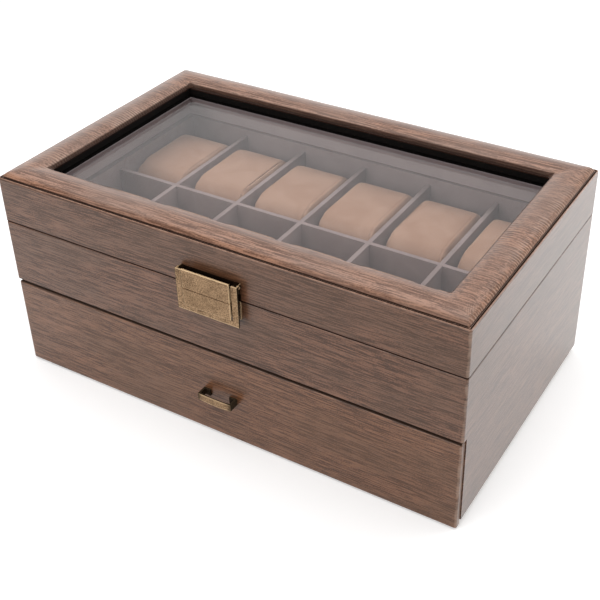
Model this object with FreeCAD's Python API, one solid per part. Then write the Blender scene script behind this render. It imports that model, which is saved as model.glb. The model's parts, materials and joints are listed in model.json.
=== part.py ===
import FreeCAD, Part
import os

# A watch box with a glazed lid, a tray of slots and a drawer below, in millimetres.
# X runs along the front, Y goes from the front to the back and Z is up.
# The origin is the centre of the ground plan that the whole box covers, at the ground.

# Body of the box
box_width = 330.0
box_depth = 197.0
foot_height = 5.5
rim_height = 113.0
seam_gap = 0.5
lid_height = 31.2
board = 9.0
leather = 0.8
corner_radius = 1.5
rim_radius = 1.1

# Drawer
front_panel_bottom = 68.0
drawer_gap = 2.3
drawer_front_thickness = 4.2
drawer_front_clearance = 0.3
drawer_front_inset = 0.8
drawer_front_lift = 0.8
drawer_front_rebate = 5.5
drawer_side = 8.0
drawer_play = 0.7
drawer_top_room = 4.0
drawer_back_room = 2.0
drawer_bottom_thickness = 3.0
running_gap = 0.3
lining = 0.8
bottom_board = 4.0

# Tray above the drawer
shelf_thickness = 3.0
shelf_drop = 2.0
floor_liner = 1.0
side_liner = 4.0
end_liner = 2.0
liner_drop = 0.4
divider_thickness = 3.0
divider_height = 37.3
divider_count = 5
end_slot_trim = 0.6
slot_play = 0.05

# Watch pillows
pillow_height = 37.7
pillow_gap = 0.3
pillow_side_gap = 2.3
pillow_near_gap = 0.6
pillow_far_gap = 10.6
pillow_edge = 2.2
pillow_end_inset = 2.6
pillow_shoulder_inset = 0.8
pillow_crown_inset = 0.2

# Lid
top_board = 2.9
opening_border_x = 23.3
opening_border_y = 25.0
reveal_liner = 0.8
pad_rim = 2.0
pad_crown = 4.3
pad_edge_height = 2.6
pad_edge_run = 2.2
pad_edge_mid_height = 1.69
pad_edge_mid_run = 0.66
glass_thickness = 3.0
glass_lap = 5.3
glass_drop = 5.0
glass_play = 0.3
retainer_thickness = 3.0
retainer_lap = 2.0
lid_liner = 1.5
lid_liner_shelf = 0.8

# Hinges
hinge_offset_x = 95.0
hinge_length = 34.0
hinge_leaf = 1.0
hinge_leaf_depth = 8.0
hinge_axis_out = 2.5
knuckle_radius = 2.2
knuckle_count = 5
knuckle_gap = 0.25
hinge_pin_radius = 1.0
pin_clearance = 0.04
screw_head_radius = 1.6
screw_shank_radius = 0.8
screw_head_depth = 0.8
screw_length = 7.0
screw_spread = 11.0
hole_clearance = 0.05

# Latch, with its depths counted out from the leather
latch_half_width = 22.2
latch_plate_inset = 1.4
latch_plate = 0.8
latch_sheet = 0.8
latch_top_above_rim = 12.7
latch_bottom_below_rim = 15.6
latch_bar = 4.3
latch_bottom_bar = 3.8
latch_bar_front = 5.2
latch_cover_front = 6.2
latch_cover_sheet = 1.0
latch_cover_side_gap = 0.9
latch_cover_rise = 1.2
latch_cover_gap = 0.5
latch_groove = 0.5
latch_cover_edge = 0.3
latch_seam_gap = 0.2
latch_pin_radius = 0.8
latch_pin_drop = 1.4
latch_pin_out = 2.6
latch_knuckle_radius = 1.5
latch_knuckle_inset = 0.2
latch_knuckle_length = 3.4
latch_knuckle_web = 0.6
latch_ear_height = 5.0
latch_lip = 2.2
latch_keeper_half = 8.0
latch_keeper_out = 1.7
nail_radius = 0.5
nail_head_radius = 1.1
nail_head = 0.4
nail_length = 5.0
nail_inset = 5.2

# Pull
pull_width = 24.8
pull_height = 4.8
pull_thickness = 1.2
pull_out = 8.0
pull_bow = 0.8
pull_screw_radius = 1.0
pull_screw_head_radius = 2.4
pull_screw_head = 1.2
pull_foot = 4.0

# Feet
foot_radius = 8.0
foot_inset = 20.0

# Places that follow from the sizes above
half_width = box_width / 2
hinge_out = hinge_axis_out + knuckle_radius
plan_depth = box_depth + pull_out + hinge_out
front = pull_out - plan_depth / 2
back = front + box_depth
middle = (front + back) / 2
wall = leather + board
inner_x = half_width - wall
inner_front = front + wall
inner_back = back - wall
lid_bottom = rim_height + seam_gap
lid_top = lid_bottom + lid_height
shelf_bottom = front_panel_bottom - shelf_drop
shelf_top = shelf_bottom + shelf_thickness
tray_floor = shelf_top + floor_liner
tray_half = inner_x - side_liner
tray_front = inner_front + end_liner
tray_back = inner_back - end_liner
divider_top = tray_floor + divider_height
divider_pitch = (2 * tray_half + divider_thickness + 2 * end_slot_trim) / (divider_count + 1)
slot_depth = (tray_back - tray_front - divider_thickness) / 2
pillow_width = divider_pitch - divider_thickness - 2 * pillow_side_gap
pillow_length = slot_depth - pillow_near_gap - pillow_far_gap
case_front_edge = front + drawer_front_thickness + drawer_front_clearance
drawer_top = front_panel_bottom - drawer_gap
drawer_floor = foot_height + bottom_board + running_gap
drawer_half = inner_x - drawer_play
drawer_box_top = shelf_bottom - drawer_top_room
drawer_box_front = front + drawer_front_thickness + drawer_front_rebate
drawer_box_back = inner_back - drawer_back_room
opening_x = half_width - opening_border_x
opening_front = front + opening_border_y
opening_back = back - opening_border_y
pad_run_x = opening_border_x - pad_rim
pad_run_y = opening_border_y - pad_rim
top_board_top = lid_top - leather
top_board_bottom = top_board_top - top_board
glass_top = lid_top - glass_drop
glass_bottom = glass_top - glass_thickness
retainer_bottom = glass_bottom - retainer_thickness
hinge_axis_y = back + hinge_axis_out
hinge_axis_z = rim_height + seam_gap / 2
latch_top = rim_height + latch_top_above_rim
latch_bottom = rim_height - latch_bottom_below_rim
latch_plate_half = latch_half_width - latch_plate_inset
latch_cover_half = latch_half_width - latch_bar - latch_cover_side_gap
nail_spread = latch_plate_half - nail_inset
latch_pin_y = front - latch_pin_out
latch_pin_z = latch_top - latch_pin_drop
pull_centre_z = (drawer_front_lift + drawer_top) / 2
through = 10.0
past = 1.0
touch = 0.01


def block(x0, x1, y0, y1, z0, z1):
    return Part.makeBox(x1 - x0, y1 - y0, z1 - z0, FreeCAD.Vector(x0, y0, z0))


def frame(outer, inner, z0, z1):
    """A rectangular ring between two plans, each given as x0, x1, y0, y1."""
    solid = block(*outer, z0, z1)
    return solid.cut(block(*inner, z0 - through, z1 + through))


def plan(half_x, y0, y1, grow=0.0):
    return (-half_x - grow, half_x + grow, y0 - grow, y1 + grow)


def cylinder(radius, start, direction, length):
    return Part.makeCylinder(radius, length, FreeCAD.Vector(*start), FreeCAD.Vector(*direction))


def join(pieces):
    solid = pieces[0]
    for piece in pieces[1:]:
        solid = solid.fuse(piece)
    return solid.removeSplitter()


def mirror_x(shape):
    return shape.mirror(FreeCAD.Vector(0, 0, 0), FreeCAD.Vector(1, 0, 0))


def save(name, shape):
    shape.exportStep("parts/%s.step" % name)


def round_edges(solid, radius, wanted):
    """Fillets the edges that the test picks by their middle point and direction."""
    picked = []
    for edge in solid.Edges:
        span = edge.Vertexes[-1].Point - edge.Vertexes[0].Point
        centre = (edge.Vertexes[-1].Point + edge.Vertexes[0].Point) * 0.5
        if wanted(span, centre):
            picked.append(edge)
    return solid.makeFillet(radius, picked)


def rounded_block(x0, x1, y0, y1, z0, z1, soft_edge_z):
    """A leather covered block with rounded uprights and a rounded edge at the given height."""
    solid = block(x0, x1, y0, y1, z0, z1)
    solid = round_edges(solid, corner_radius, lambda span, centre: abs(span.z) > touch)
    return round_edges(solid, rim_radius, lambda span, centre: abs(centre.z - soft_edge_z) < touch)


def hinge_centres():
    return (-hinge_offset_x, hinge_offset_x)


def leaf_pockets():
    """The space of the four hinge leaves, to be cut from boards and leather."""
    half = hinge_length / 2
    cuts = []
    for centre in hinge_centres():
        cuts.append(
            block(centre - half, centre + half, back - hinge_leaf_depth, back + through,
                  rim_height - hinge_leaf, lid_bottom + hinge_leaf)
        )
    return cuts


def screw_centres():
    return [centre + side * screw_spread for centre in hinge_centres() for side in (-1, 1)]


def hinge_screw(x, z, down, clearance=0.0):
    """A flat headed screw in a hinge leaf, driven down into the case or up into the lid."""
    sign = -1 if down else 1
    y = back - hinge_leaf_depth / 2
    top = FreeCAD.Vector(x, y, z)
    way = FreeCAD.Vector(0, 0, sign)
    head = Part.makeCone(screw_head_radius + clearance, screw_shank_radius + clearance,
                         screw_head_depth, top, way)
    shank = cylinder(screw_shank_radius + clearance, (x, y, z + sign * screw_head_depth),
                     (0, 0, sign), screw_length - screw_head_depth + clearance)
    return head.fuse(shank)


def cut_all(solid, cuts):
    for cut in cuts:
        solid = solid.cut(cut)
    return solid


def case_screw_holes():
    return [hinge_screw(x, rim_height, True, hole_clearance) for x in screw_centres()]


def lid_screw_holes():
    return [hinge_screw(x, lid_bottom, False, hole_clearance) for x in screw_centres()]


def make_case_boards():
    """Two sides, a back, the panel over the drawer, the shelf under the tray and the bottom."""
    board_top = rim_height - leather
    side = block(inner_x, inner_x + board, front + leather, back - leather, foot_height, board_top)
    side = side.cut(block(0, half_width, front - past, case_front_edge + leather,
                          0, front_panel_bottom + leather))
    side = cut_all(side, leaf_pockets())
    save("case_right_side", side)
    save("case_left_side", mirror_x(side))
    rear = block(-inner_x, inner_x, inner_back, inner_back + board, foot_height, board_top)
    rear = cut_all(rear, leaf_pockets() + case_screw_holes())
    save("case_back", rear)
    panel = block(-inner_x, inner_x, front + leather, inner_front,
                  front_panel_bottom + leather, board_top)
    save("case_front_panel", cut_all(panel, nail_holes()))
    save("case_shelf", block(-inner_x, inner_x, inner_front, inner_back, shelf_bottom, shelf_top))
    save("case_bottom", block(-inner_x, inner_x, case_front_edge + leather, inner_back,
                              foot_height, foot_height + bottom_board))


def make_case_wrap():
    """The leather round the case, folded over its rim, the panel's lower edge and the side edges."""
    skin = rounded_block(-half_width, half_width, front, back, foot_height, rim_height, rim_height)
    boards_above = block(-half_width + leather, half_width - leather, front + leather, back - leather,
                         front_panel_bottom + leather, rim_height - leather)
    boards_below = block(-half_width + leather, half_width - leather, case_front_edge + leather,
                         back - leather, 0, rim_height - leather)
    tray_mouth = block(*plan(inner_x, inner_front, inner_back), 0, rim_height + through)
    drawer_mouth = block(-half_width - past, half_width + past, front - past, case_front_edge,
                         0, front_panel_bottom)
    drawer_bay = block(-inner_x, inner_x, front - past, inner_front, 0, front_panel_bottom)
    skin = cut_all(skin, [boards_above, boards_below, tray_mouth, drawer_mouth, drawer_bay])
    save("case_wrap", cut_all(skin, leaf_pockets() + nail_holes()))


def make_feet():
    feet = []
    for x in (-half_width + foot_inset, half_width - foot_inset):
        for y in (front + foot_inset, back - foot_inset):
            feet.append(cylinder(foot_radius, (x, y, 0), (0, 0, 1), foot_height))
    save("feet", Part.makeCompound(feet))


def make_tray():
    """The velvet covered cards that line the tray, and the halved dividers of its slots."""
    liner_top = rim_height - liner_drop
    save("tray_floor_liner", block(-inner_x, inner_x, inner_front, inner_back, shelf_top, tray_floor))
    side = block(tray_half, inner_x, inner_front, inner_back, tray_floor, liner_top)
    save("tray_right_liner", side)
    save("tray_left_liner", mirror_x(side))
    save("tray_front_liner", block(-tray_half, tray_half, inner_front, tray_front,
                                   tray_floor, liner_top))
    save("tray_back_liner", block(-tray_half, tray_half, tray_back, inner_back,
                                  tray_floor, liner_top))
    half = divider_thickness / 2
    halving = tray_floor + divider_height / 2
    long_divider = block(-tray_half, tray_half, middle - half, middle + half,
                         tray_floor, divider_top)
    cross_dividers = []
    for number in range(divider_count):
        x = (number - (divider_count - 1) / 2) * divider_pitch
        long_divider = long_divider.cut(
            block(x - half - slot_play, x + half + slot_play, middle - through, middle + through,
                  halving, divider_top + past)
        )
        cross = block(x - half, x + half, tray_front, tray_back, tray_floor, divider_top)
        cross = cross.cut(
            block(x - through, x + through, middle - half - slot_play, middle + half + slot_play,
                  tray_floor - past, halving)
        )
        cross_dividers.append(cross)
    save("long_divider", long_divider)
    save("cross_dividers", Part.makeCompound(cross_dividers))


def pillow_section(x, y, inset):
    """A closed outline across a pillow: flat under, crowned over, with round ends."""
    bottom = tray_floor + pillow_gap + inset
    top = tray_floor + pillow_gap + pillow_height - inset
    radius = (top - bottom) / 2
    waist = bottom + radius
    half_flat = pillow_length / 2 - inset - radius
    slant = radius * 0.5 ** 0.5
    point = lambda dy, z: FreeCAD.Vector(x, y + dy, z)
    edges = [
        Part.LineSegment(point(-half_flat, bottom), point(half_flat, bottom)).toShape(),
        Part.Arc(point(half_flat, bottom), point(half_flat + slant, waist - slant),
                 point(half_flat + radius, waist)).toShape(),
        Part.Arc(point(half_flat + radius, waist), point(half_flat + slant, waist + slant),
                 point(half_flat, top)).toShape(),
        Part.LineSegment(point(half_flat, top), point(-half_flat, top)).toShape(),
        Part.Arc(point(-half_flat, top), point(-half_flat - slant, waist + slant),
                 point(-half_flat - radius, waist)).toShape(),
        Part.Arc(point(-half_flat - radius, waist), point(-half_flat - slant, waist - slant),
                 point(-half_flat, bottom)).toShape(),
    ]
    return Part.Wire(edges)


def make_pillow(x, y):
    """A watch pillow, full across its middle and drawn in at its two ends."""
    half = pillow_width / 2
    stations = [
        (-half, pillow_end_inset),
        (-half + pillow_edge, pillow_shoulder_inset),
        (-half / 2, pillow_crown_inset),
        (0.0, 0.0),
        (half / 2, pillow_crown_inset),
        (half - pillow_edge, pillow_shoulder_inset),
        (half, pillow_end_inset),
    ]
    return Part.makeLoft([pillow_section(x + dx, y, inset) for dx, inset in stations], True, False)


def slot_centres():
    """The middle of each slot along X: full slots between dividers, and one at each end."""
    edges = [-tray_half]
    for number in range(divider_count):
        x = (number - (divider_count - 1) / 2) * divider_pitch
        edges.extend([x - divider_thickness / 2, x + divider_thickness / 2])
    edges.append(tray_half)
    return [(edges[i] + edges[i + 1]) / 2 for i in range(0, len(edges), 2)]


def make_pillows():
    back_row = tray_back - slot_depth / 2
    front_row = tray_front + pillow_near_gap + pillow_length / 2
    for number, x in enumerate(slot_centres(), 1):
        save("pillow_back_%d" % number, make_pillow(x, back_row))
        save("pillow_front_%d" % number, make_pillow(x, front_row))


def make_lid_boards():
    """Four rails and the thin frame board that carries the padded top."""
    rail_bottom = lid_bottom + leather
    side = block(inner_x, inner_x + board, front + leather, back - leather,
                 rail_bottom, top_board_bottom)
    side = cut_all(side, leaf_pockets())
    save("lid_right_side", side)
    save("lid_left_side", mirror_x(side))
    save("lid_front_rail", block(-inner_x, inner_x, front + leather, inner_front,
                                 rail_bottom, top_board_bottom))
    rear = block(-inner_x, inner_x, inner_back, inner_back + board, rail_bottom, top_board_bottom)
    save("lid_back_rail", cut_all(rear, leaf_pockets() + lid_screw_holes()))
    outer = plan(half_width - leather, front + leather, back - leather)
    mouth = plan(opening_x, opening_front, opening_back, reveal_liner)
    save("lid_top_board", frame(outer, mouth, top_board_bottom, top_board_top))


def make_lid_wrap():
    """The leather round the lid, folded under its rim and in over the top board."""
    skin = rounded_block(-half_width, half_width, front, back, lid_bottom, lid_top, lid_top)
    boards = block(-half_width + leather, half_width - leather, front + leather, back - leather,
                   lid_bottom + leather, lid_top - leather)
    under = block(*plan(inner_x, inner_front, inner_back), 0, lid_top - leather)
    mouth = block(*plan(opening_x, opening_front, opening_back), 0, lid_top + through)
    save("lid_wrap", cut_all(skin, [boards, under, mouth] + leaf_pockets()))


def pad_profile():
    """The padded top's outline across the front member, from its outer edge at 0 to its inner edge."""
    top = lid_top + pad_crown
    shoulder = lid_top + pad_edge_height
    middle_height = lid_top + pad_edge_mid_height
    last = pad_run_y - pad_edge_run
    point = lambda run, z: FreeCAD.Vector(0, run, z)
    return Part.Wire([
        Part.LineSegment(point(pad_run_y, lid_top), point(0, lid_top)).toShape(),
        Part.Arc(point(0, lid_top), point(pad_edge_mid_run, middle_height),
                 point(pad_edge_run, shoulder)).toShape(),
        Part.Arc(point(pad_edge_run, shoulder), point(pad_run_y / 2, top),
                 point(last, shoulder)).toShape(),
        Part.Arc(point(last, shoulder), point(pad_run_y - pad_edge_mid_run, middle_height),
                 point(pad_run_y, lid_top)).toShape(),
    ])


def mitred_member(profile, length_way, corners):
    """A member cut to the four sided plan that its mitres leave."""
    solid = Part.Face(profile).extrude(length_way)
    outline = Part.makePolygon([FreeCAD.Vector(x, y, lid_top - past) for x, y in corners + corners[:1]])
    return solid.common(Part.Face(outline).extrude(FreeCAD.Vector(0, 0, pad_crown + 2 * past)))


def make_top_pad():
    """The foam and leather frame round the glass, crowned over and rolled in at both edges."""
    outer_x = half_width - pad_rim
    outer_front = front + pad_rim
    outer_back = back - pad_rim
    profile = pad_profile()
    across = FreeCAD.Matrix(0, pad_run_x / pad_run_y, 0, 0, 1, 0, 0, 0, 0, 0, 1, 0, 0, 0, 0, 1)
    side_profile = profile.transformGeometry(across)
    profile.translate(FreeCAD.Vector(-outer_x, outer_front, 0))
    side_profile.translate(FreeCAD.Vector(-outer_x, outer_front, 0))
    front_member = mitred_member(
        profile, FreeCAD.Vector(2 * outer_x, 0, 0),
        [(-outer_x, outer_front), (outer_x, outer_front),
         (opening_x, opening_front), (-opening_x, opening_front)])
    left_member = mitred_member(
        side_profile, FreeCAD.Vector(0, outer_back - outer_front, 0),
        [(-outer_x, outer_front), (-opening_x, opening_front),
         (-opening_x, opening_back), (-outer_x, outer_back)])
    back_member = front_member.mirror(FreeCAD.Vector(0, middle, 0), FreeCAD.Vector(0, 1, 0))
    save("top_frame_pad", join([front_member, left_member, back_member, mirror_x(left_member)]))


def make_glazing():
    """The pane, the black strip that shows above it, and the frame that holds it from below."""
    mouth = plan(opening_x, opening_front, opening_back)
    pane = plan(opening_x, opening_front, opening_back, glass_lap)
    pocket = plan(opening_x, opening_front, opening_back, glass_lap + glass_play)
    upstand = plan(opening_x, opening_front, opening_back, reveal_liner)
    inside = plan(inner_x, inner_front, inner_back)
    save("glass_pane", block(*pane, glass_bottom, glass_top))
    seal = frame(pocket, mouth, glass_top, top_board_bottom)
    seal = seal.fuse(frame(upstand, mouth, top_board_bottom, top_board_top))
    save("glass_seal", seal.removeSplitter())
    holder = frame(inside, pocket, retainer_bottom, top_board_bottom)
    lip = plan(opening_x, opening_front, opening_back, -retainer_lap)
    holder = holder.fuse(frame(inside, lip, retainer_bottom, glass_bottom))
    save("glass_retainer", holder.removeSplitter())
    wall_face = plan(inner_x, inner_front, inner_back, -lid_liner)
    lip_face = plan(opening_x, opening_front, opening_back, -retainer_lap - lid_liner_shelf)
    liner = frame(inside, wall_face, lid_bottom + liner_drop, retainer_bottom)
    liner = liner.fuse(frame(inside, lip_face, retainer_bottom - lid_liner_shelf, retainer_bottom))
    liner = liner.fuse(frame(lip, lip_face, retainer_bottom, glass_bottom))
    save("lid_liner", liner.removeSplitter())


def make_hinge_leaf(centre, on_case):
    """A mortised leaf with its share of the knuckles."""
    half = hinge_length / 2
    z0 = rim_height - hinge_leaf if on_case else lid_bottom
    z1 = z0 + hinge_leaf
    leaf = block(centre - half, centre + half, back - hinge_leaf_depth, back, z0, z1)
    pitch = (hinge_length + knuckle_gap) / knuckle_count
    pieces = [leaf]
    for number in range(knuckle_count):
        if (number % 2 == 0) != on_case:
            continue
        x0 = centre - half + number * pitch
        x1 = x0 + pitch - knuckle_gap
        pieces.append(block(x0, x1, back, hinge_axis_y, z0, z1))
        pieces.append(cylinder(knuckle_radius, (x0, hinge_axis_y, hinge_axis_z), (1, 0, 0), x1 - x0))
    solid = join(pieces)
    bore = cylinder(hinge_pin_radius + pin_clearance, (centre - half - past, hinge_axis_y, hinge_axis_z),
                    (1, 0, 0), hinge_length + 2 * past)
    holes = case_screw_holes() if on_case else lid_screw_holes()
    return cut_all(solid, [bore] + holes)


def make_hinges():
    pins = []
    for side, centre in zip(("left", "right"), hinge_centres()):
        save("%s_hinge_case_leaf" % side, make_hinge_leaf(centre, True))
        save("%s_hinge_lid_leaf" % side, make_hinge_leaf(centre, False))
        pins.append(cylinder(hinge_pin_radius, (centre - hinge_length / 2, hinge_axis_y, hinge_axis_z),
                             (1, 0, 0), hinge_length))
    save("hinge_pins", Part.makeCompound(pins))
    save("hinge_case_screws", Part.makeCompound(
        [hinge_screw(x, rim_height, True) for x in screw_centres()]))
    save("hinge_lid_screws", Part.makeCompound(
        [hinge_screw(x, lid_bottom, False) for x in screw_centres()]))


def sheet(x0, x1, out0, out1, z0, z1):
    """A block on the front face, with its depth counted out from the leather."""
    return block(x0, x1, front - out1, front - out0, z0, z1)


def nail_centres():
    z = (latch_bottom + latch_bottom_bar + rim_height) / 2
    return [(side * nail_spread, z) for side in (-1, 1)]


def nail(x, z, clearance=0.0):
    """The shank of a nail, from the outside of its head."""
    return cylinder(nail_radius + clearance, (x, front - latch_plate - nail_head, z), (0, 1, 0),
                    nail_head + nail_length + clearance)


def nail_holes():
    return [nail(x, z, hole_clearance) for x, z in nail_centres()]


def make_latch():
    """A hasp on the lid, a bail hinged at its top and a keeper plate on the case behind them."""
    seam = (rim_height + lid_bottom) / 2
    knuckle_end = latch_half_width - latch_sheet - latch_knuckle_inset
    knuckle_start = knuckle_end - latch_knuckle_length
    lid_plate = [sheet(-latch_plate_half, latch_plate_half, 0, latch_plate,
                       lid_bottom + latch_seam_gap, latch_top)]
    pins = []
    for side in (-1, 1):
        start = side * knuckle_start
        lid_plate.append(cylinder(latch_knuckle_radius, (start, latch_pin_y, latch_pin_z),
                                  (side, 0, 0), latch_knuckle_length))
        low, high = sorted((start, side * knuckle_end))
        lid_plate.append(sheet(low, high, 0, latch_pin_out,
                               latch_pin_z + latch_knuckle_radius - latch_knuckle_web,
                               latch_pin_z + latch_knuckle_radius))
        pins.append(cylinder(latch_pin_radius, (start, latch_pin_y, latch_pin_z), (side, 0, 0),
                             latch_half_width - knuckle_start))
    bore = cylinder(latch_pin_radius + pin_clearance, (-half_width, latch_pin_y, latch_pin_z),
                    (1, 0, 0), box_width)
    save("latch_lid_plate", join(lid_plate).cut(bore))
    save("latch_pins", Part.makeCompound(pins))

    cover_back = latch_cover_front - latch_cover_sheet
    cover_bottom = latch_bottom + latch_bottom_bar + latch_cover_gap
    cover = sheet(-latch_cover_half, latch_cover_half, cover_back, latch_cover_front,
                  cover_bottom, latch_top + latch_cover_rise)
    cover = round_edges(cover, latch_cover_edge,
                        lambda span, centre: abs(centre.y - (front - latch_cover_front)) < touch)
    for side in (-1, 1):
        low, high = sorted((side * latch_cover_half, side * (latch_cover_half - latch_sheet)))
        cover = cover.fuse(sheet(low, high, latch_plate, cover_back,
                                 lid_bottom + latch_sheet, latch_pin_z - latch_knuckle_radius))
    cover = cover.cut(sheet(-latch_half_width, latch_half_width, latch_cover_front - latch_groove,
                            latch_cover_front + past, seam, seam + latch_groove))
    save("latch_cover", cover.removeSplitter())

    bar_back = latch_bar_front - latch_sheet
    bail = [sheet(-latch_half_width, latch_half_width, bar_back, latch_bar_front,
                  latch_bottom, latch_bottom + latch_bottom_bar)]
    bail.append(sheet(-latch_keeper_half, latch_keeper_half, latch_lip, bar_back,
                      latch_bottom, latch_bottom + latch_sheet))
    for side in (-1, 1):
        low, high = sorted((side * latch_half_width, side * (latch_half_width - latch_bar)))
        bail.append(sheet(low, high, bar_back, latch_bar_front, latch_bottom, latch_top))
        low, high = sorted((side * latch_half_width, side * (latch_half_width - latch_sheet)))
        bail.append(sheet(low, high, latch_pin_out, bar_back,
                          latch_top - latch_ear_height, latch_top))
        bail.append(cylinder(latch_pin_drop, (side * latch_half_width, latch_pin_y, latch_pin_z),
                             (-side, 0, 0), latch_sheet))
    save("latch_bail", join(bail).cut(bore))

    keeper_bottom = latch_bottom + latch_bottom_bar
    plate = sheet(-latch_plate_half, latch_plate_half, 0, latch_plate,
                  keeper_bottom - latch_sheet, rim_height - latch_seam_gap)
    nose = sheet(-latch_keeper_half, latch_keeper_half, latch_plate, latch_keeper_out,
                 keeper_bottom - latch_sheet, keeper_bottom + latch_sheet)
    save("latch_case_plate", cut_all(join([plate, nose]), nail_holes()))
    nails = []
    for x, z in nail_centres():
        head = cylinder(nail_head_radius, (x, front - latch_plate - nail_head, z), (0, 1, 0), nail_head)
        nails.append(head.fuse(nail(x, z)).removeSplitter())
    save("latch_case_nails", Part.makeCompound(nails))


def pull_screw_centres():
    return [side * (pull_width / 2 - pull_thickness - pull_foot / 2) for side in (-1, 1)]


def pull_screw(x, clearance=0.0):
    """A screw from inside the drawer, through its front, into a foot of the pull."""
    shank_end = front - pull_thickness
    under_head = drawer_box_front - pull_screw_head
    shank = cylinder(pull_screw_radius + clearance, (x, under_head, pull_centre_z),
                     (0, -1, 0), under_head - shank_end)
    head = cylinder(pull_screw_head_radius + clearance, (x, drawer_box_front, pull_centre_z),
                    (0, -1, 0), pull_screw_head)
    return shank.fuse(head)


def make_pull():
    """A bent strap: two feet on the leather, two legs and a slightly bowed front."""
    half = pull_width / 2
    low = pull_centre_z - pull_height / 2
    leg_out = pull_out - pull_bow
    point = lambda x, out: FreeCAD.Vector(x, front - out, low)
    outline = Part.Wire([
        Part.LineSegment(point(-half, 0), point(-half, leg_out)).toShape(),
        Part.Arc(point(-half, leg_out), point(0, pull_out), point(half, leg_out)).toShape(),
        Part.LineSegment(point(half, leg_out), point(half, 0)).toShape(),
        Part.LineSegment(point(half, 0), point(-half, 0)).toShape(),
    ])
    inner = half - pull_thickness
    hollow = Part.Wire([
        Part.LineSegment(point(-inner, pull_thickness), point(-inner, leg_out - pull_thickness)).toShape(),
        Part.Arc(point(-inner, leg_out - pull_thickness), point(0, pull_out - pull_thickness),
                 point(inner, leg_out - pull_thickness)).toShape(),
        Part.LineSegment(point(inner, leg_out - pull_thickness), point(inner, pull_thickness)).toShape(),
        Part.LineSegment(point(inner, pull_thickness), point(-inner, pull_thickness)).toShape(),
    ])
    up = FreeCAD.Vector(0, 0, pull_height)
    strap = Part.Face(outline).extrude(up).cut(Part.Face(hollow).extrude(up))
    strap = strap.cut(block(-inner + pull_foot, inner - pull_foot,
                            front - pull_thickness, front + past,
                            low - past, low + pull_height + past))
    screws = [pull_screw(x) for x in pull_screw_centres()]
    save("drawer_pull", cut_all(strap, [pull_screw(x, hole_clearance) for x in pull_screw_centres()]))
    save("pull_screws", Part.makeCompound(screws))


def make_drawer():
    """The leather covered front, the box behind it and the velvet inside."""
    face_x = half_width - drawer_front_inset
    face_back = front + drawer_front_thickness
    screw_holes = [pull_screw(x, hole_clearance) for x in pull_screw_centres()]
    core = block(-face_x + leather, face_x - leather, front + leather, face_back,
                 drawer_front_lift + leather, drawer_top - leather)
    rebate = block(-drawer_half, drawer_half, face_back, drawer_box_front, drawer_floor, drawer_box_top)
    save("drawer_front", cut_all(core.fuse(rebate).removeSplitter(), screw_holes))
    skin = block(-face_x, face_x, front, face_back, drawer_front_lift, drawer_top)
    skin = round_edges(skin, corner_radius,
                       lambda span, centre: abs(centre.y - front) < touch < abs(span.z))
    skin = round_edges(skin, rim_radius,
                       lambda span, centre: max(abs(centre.y - front), abs(span.z)) < touch)
    skin = skin.cut(block(-face_x + leather, face_x - leather, front + leather, face_back + past,
                          drawer_front_lift + leather, drawer_top - leather))
    save("drawer_front_wrap", cut_all(skin, screw_holes))
    side = block(drawer_half - drawer_side, drawer_half, drawer_box_front, drawer_box_back,
                 drawer_floor, drawer_box_top)
    save("drawer_right_side", side)
    save("drawer_left_side", mirror_x(side))
    box_x = drawer_half - drawer_side
    box_back = drawer_box_back - drawer_side
    save("drawer_back", block(-box_x, box_x, box_back, drawer_box_back, drawer_floor, drawer_box_top))
    floor_top = drawer_floor + drawer_bottom_thickness
    save("drawer_bottom", block(-box_x, box_x, drawer_box_front, box_back, drawer_floor, floor_top))
    velvet = block(-box_x, box_x, drawer_box_front, box_back, floor_top, drawer_box_top)
    velvet = velvet.cut(block(-box_x + lining, box_x - lining, drawer_box_front + lining,
                              box_back - lining, floor_top + lining, drawer_box_top + past))
    save("drawer_lining", velvet)


os.makedirs("parts", exist_ok=True)
make_case_boards()
make_case_wrap()
make_feet()
make_tray()
make_pillows()
make_lid_boards()
make_lid_wrap()
make_top_pad()
make_glazing()
make_hinges()
make_latch()
make_pull()
make_drawer()
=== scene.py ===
import json
import math

import bmesh
import bpy
from bpy.props import FloatProperty, FloatVectorProperty, IntProperty, PointerProperty
from mathutils import Euler, Matrix, Vector, noise

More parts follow.
